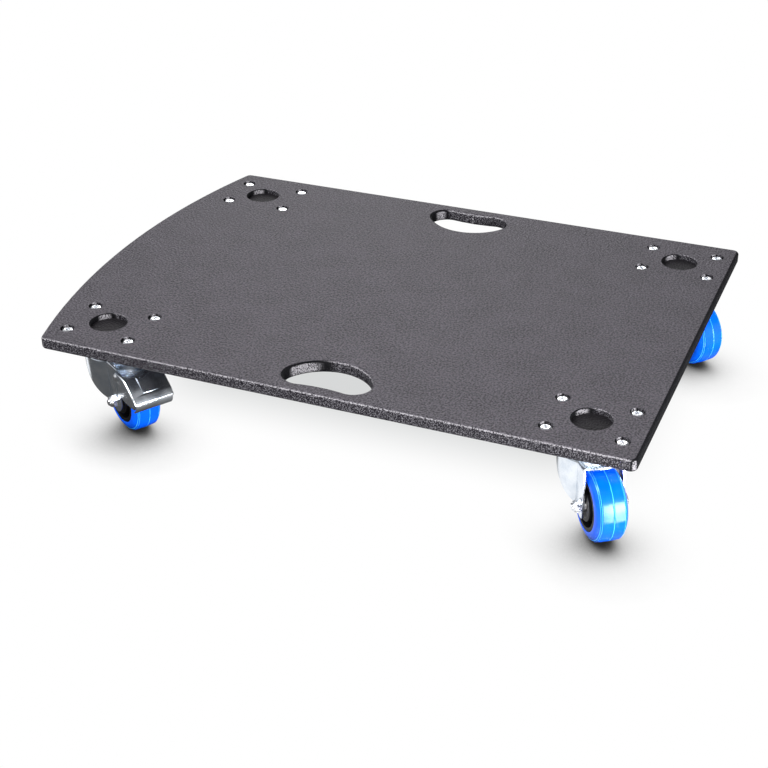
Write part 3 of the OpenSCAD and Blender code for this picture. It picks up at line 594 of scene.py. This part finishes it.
spring_steel = zinc_plate("spring_steel", (0.42, 0.43, 0.45), (0.3, 0.31, 0.33), 0.3)
pedal_edge, pedal_crease, square_side = 0.4, 30, 16.0
for castor in BRAKED:
    pedal = broken_edges(f"{castor}_brake_pedal", pedal_edge, pedal_crease, square_side)
    new_piece(f"{castor}_pressed_pedal", pedal, sheet_zinc, f"{castor}_brake", "pressed_zinc",
              f"{castor}_brake_pedal")
    dress(bright_steel, f"{castor}_brake_rivets")
    dress(spring_steel, f"{castor}_brake_leaf", f"{castor}_brake_shoe")


# The deck's fasteners: button-head bolts, flat washers and nuts, bright zinc plated. Each
# castor's top plate is clamped by four.

def fastener_tree():
    """Sets a copy of one fastener at every given place."""
    tree, bench, (places, fastener, finish) = new_tree(
        "fasteners", {"Places": "Geometry", "Fastener": "Object", "Finish": "Material"})
    drawn = bench.node("GeometryNodeObjectInfo", {"Object": fastener}, out="Geometry")
    spots = bench.node("GeometryNodeMeshToPoints", {"Mesh": places})
    copies = bench.node("GeometryNodeInstanceOnPoints", {"Points": spots, "Instance": drawn})
    return close_tree(bench, copies, finish)


def at_deck_bolts(mesh):
    """One fastener's mesh, repeated at the four bolts of each castor."""
    pattern = bpy.data.objects.new("pattern", mesh)
    half_across, half_along = 40 * MM, 30 * MM
    places = bpy.data.meshes.new("places")
    kingpins = [Vector(joint_of[f"{c}_swivel"]["pos_m"]) for c in CASTORS]
    places.from_pydata([(k.x + i * half_across, k.y + j * half_along, 0.0)
                        for k in kingpins for i in (-1, 1) for j in (-1, 1)], [], [])
    builder = bpy.data.objects.new("places", places)
    for made in (pattern, builder):
        bpy.context.scene.collection.objects.link(made)
    modifier = builder.modifiers.new("set", "NODES")
    modifier.node_group = bolt_tree
    set_inputs(modifier, Fastener=pattern, Finish=bright_steel)
    whole = plain_mesh(builder)
    bpy.data.objects.remove(pattern)
    return smooth(whole, 25)


bolt_tree = fastener_tree()
head_top, button_h, head_r, head_edge, land = -1.0, 4.4, 6.95, 0.2, 0.5
washer_h, washer_bore, washer_r, washer_edge = 1.6, 4.25, 8.0, 0.15
bolt_length, thread_top, nut_top, plain_nut_h = 20.0, -14.0, -18.0, 6.5
head_base, nut_base = head_top - button_h, nut_top - plain_nut_h
washer_base, shank_end = head_base - washer_h, head_base - bolt_length
socket_flat, socket_h, socket_bevel, socket_rim = 2.5, 2.4, 0.45, 3.2
fullness, first_angle, shank_point_r = 0.62, 5, 3.3
dome_angles = [radians(first_angle + (90 - first_angle) * i / 10) for i in range(11)]
dome = [(head_r * sin(angle) ** fullness, head_base + land + (button_h - land) * cos(angle) ** fullness)
        for angle in dome_angles]
deck_bolt = turned(
    [(0.0, head_top - socket_h), (socket_flat, head_top - socket_h, 1.0),
     (socket_flat, head_top - socket_bevel, 1.0)]
    + [spot for spot in dome if spot[0] > socket_rim]
    + [(head_r, head_base + head_edge), (head_r - head_edge, head_base), (shank_r, head_base)]
    + thread(shank_r, thread_top, shank_end + tip) + [(shank_point_r, shank_end), (0.0, shank_end)],
    fine_steps, bright_steel, crisp)
deck_washer = turned(
    [(washer_bore, washer_base), (washer_r, washer_base), (washer_r, head_base - washer_edge),
     (washer_r - washer_edge, head_base), (washer_bore, head_base), (washer_bore, washer_base)],
    plain_steps, bright_steel, crisp)
deck_nut = turned(
    [(nut_bore, nut_top), (face_r, nut_top), (hex_flat, nut_top - face_bevel, 1.0),
     (hex_flat, nut_base + 0.5, 1.0), (chamfer_r, nut_base), (nut_bore, nut_base), (nut_bore, nut_top)],
    plain_steps, bright_steel, crisp)
for name, drawn in (("bolts", deck_bolt), ("washers", deck_washer), ("nuts", deck_nut)):
    new_piece(f"turned_{name}", at_deck_bolts(drawn), bright_steel, "deck", "zinc", f"deck_{name}")


# The studio: a white floor, a white surround, and soft lamps left, in front, behind and low right.
# The camera stands where the photograph's camera stood.

floor_z = cad_box[0][2]


def floor_paper():
    """Paper that the camera sees as white, with a shadow round each wheel and a faint one under the
    deck. In a mirror it is dimmer, but bright in front and beside the front left castor, and it is
    glossy on the right."""
    finish, bench, place = new_finish("floor_paper")
    white, contact_tone, deck_tone = (1.0, 1.0, 1.0), (0.02, 0.02, 0.02), (0.68, 0.69, 0.69)
    thrown, mirror_dim, shadow_reach = 0.26, 0.15, 0.085
    across, along, _ = place.parts()
    path = bench.node("ShaderNodeLightPath").socket.node
    seen = Wire(bench.tree, path.outputs["Is Camera Ray"])
    mirrored_in = Wire(bench.tree, path.outputs["Is Glossy Ray"])
    lean = bench.node("ShaderNodeCombineXYZ", {"X": -0.2, "Y": 0.62, "Z": 0.76})
    near = bench.node("ShaderNodeAmbientOcclusion", {"Distance": shadow_reach, "Normal": lean}, out="AO",
                      samples=16)
    contact = near.step(0.2, 1.0).shades(contact_tone, white)
    under = across.within(-0.36, -0.2, 0.2, 0.36) * along.within(-0.2, -0.06, 0.1, 0.25)
    front = 1.05 * across.step(-0.25, 0.2) * along.step(-0.115, -0.16)
    beside = 1.1 * across.within(-0.52, -0.48, -0.39, -0.36) * along.within(-0.208, -0.19, -0.15, -0.13)
    shadows = bench.mix(1.0, contact, under.shades(white, deck_tone), blend_type="MULTIPLY")
    glow = bench.node("ShaderNodeEmission", {
        "Color": shadows,
        "Strength": thrown + (1 - thrown) * seen + (front + beside - mirror_dim) * mirrored_in})
    gloss = bench.node("ShaderNodeBsdfAnisotropic", {"Color": (0.95, 0.95, 0.95), "Roughness": 0.15})
    glossy_side = 0.9 * mirrored_in * across.step(0.28, 0.36)
    both = bench.node("ShaderNodeMixShader", {0: glossy_side, 1: glow, 2: gloss})
    output = bench.tree.nodes.new("ShaderNodeOutputMaterial")
    bench.tree.links.new(both.socket, output.inputs["Surface"])
    return finish


floor_mesh = bpy.data.meshes.new("floor")
half_floor = 12.0
floor_mesh.from_pydata([(x * half_floor, y * half_floor, floor_z)
                        for x, y in ((-1, -1), (1, -1), (1, 1), (-1, 1))], [], [(0, 1, 2, 3)])
floor = bpy.data.objects.new("floor", floor_mesh)
bpy.context.scene.collection.objects.link(floor)
floor_mesh.materials.append(floor_paper())


def studio_surround():
    """White to the camera. To all else a dim room, lit from the left, from behind, from the right
    and softly from overhead."""
    surround = bpy.data.worlds.new("surround")
    surround.use_nodes = True
    surround.node_tree.nodes.clear()
    bench = Wire(surround.node_tree)
    white, room_tone, light_tone = (1.0, 1.0, 1.0), (0.05, 0.053, 0.06), (1.0, 1.0, 1.02)
    path = bench.node("ShaderNodeLightPath").socket.node
    seen = Wire(bench.tree, path.outputs["Is Camera Ray"])
    across, along, up = bench.node("ShaderNodeTexCoord", out="Generated").parts()
    left = (-0.85 * across - 0.3 * along + 0.35 * up).step(0.5, 0.95)
    behind = (0.9 * along - 0.15 * across).step(0.4, 0.95) * up.step(0.65, 0.25)
    overhead = up.step(0.6, 1.0)
    right = (0.95 * across - 0.25 * along).step(0.7, 0.97) * up.step(0.6, 0.35)
    soft = (left * 0.8 + overhead * 0.4 + behind * 2.0 + right * 1.5).shades(room_tone, light_tone)
    sky = bench.node("ShaderNodeBackground", {"Color": seen.shades(soft, white), "Strength": 1.0})
    output = bench.tree.nodes.new("ShaderNodeOutputWorld")
    bench.tree.links.new(sky.socket, output.inputs["Surface"])
    return surround


bpy.context.scene.world = studio_surround()


def soft_lamp(name, direction, distance, size, power):
    """A square lamp that faces the middle of the deck, in metres and watts."""
    lamp = bpy.data.lights.new(name, "AREA")
    lamp.size = size
    lamp.energy = power
    place = Vector(direction).normalized() * distance
    made = bpy.data.objects.new(name, lamp)
    facing = place.to_track_quat("Z", "Y").to_matrix().to_4x4()
    made.matrix_world = Matrix.Translation(place) @ facing
    bpy.context.scene.collection.objects.link(made)


soft_lamp("left_lamp", (-0.42, -0.55, 0.75), 2.4, 0.9, 50.0)
soft_lamp("front_lamp", (0.3, -0.9, 0.42), 2.3, 0.7, 28.0)
soft_lamp("back_lamp", (-0.35, 0.83, 0.47), 2.1, 1.3, 22.0)
soft_lamp("low_lamp", (0.82, -0.53, 0.11), 1.65, 0.6, 44.0)

lens = bpy.data.cameras.new("camera")
lens.sensor_width = 36.0
lens.lens = 69.48
camera = bpy.data.objects.new("camera", lens)
camera_place = Vector((0.59195, -1.46734, 0.79775))
camera_azimuth, camera_pitch, camera_roll = radians(22.9446), radians(-30.333), radians(-0.6576)
camera.matrix_world = (Matrix.Translation(camera_place) @ Matrix.Rotation(camera_azimuth, 4, "Z")
                       @ Matrix.Rotation(pi / 2 + camera_pitch, 4, "X")
                       @ Matrix.Rotation(camera_roll, 4, "Z"))
bpy.context.scene.collection.objects.link(camera)
bpy.context.scene.camera = camera
bpy.context.scene.view_settings.view_transform = "Standard"
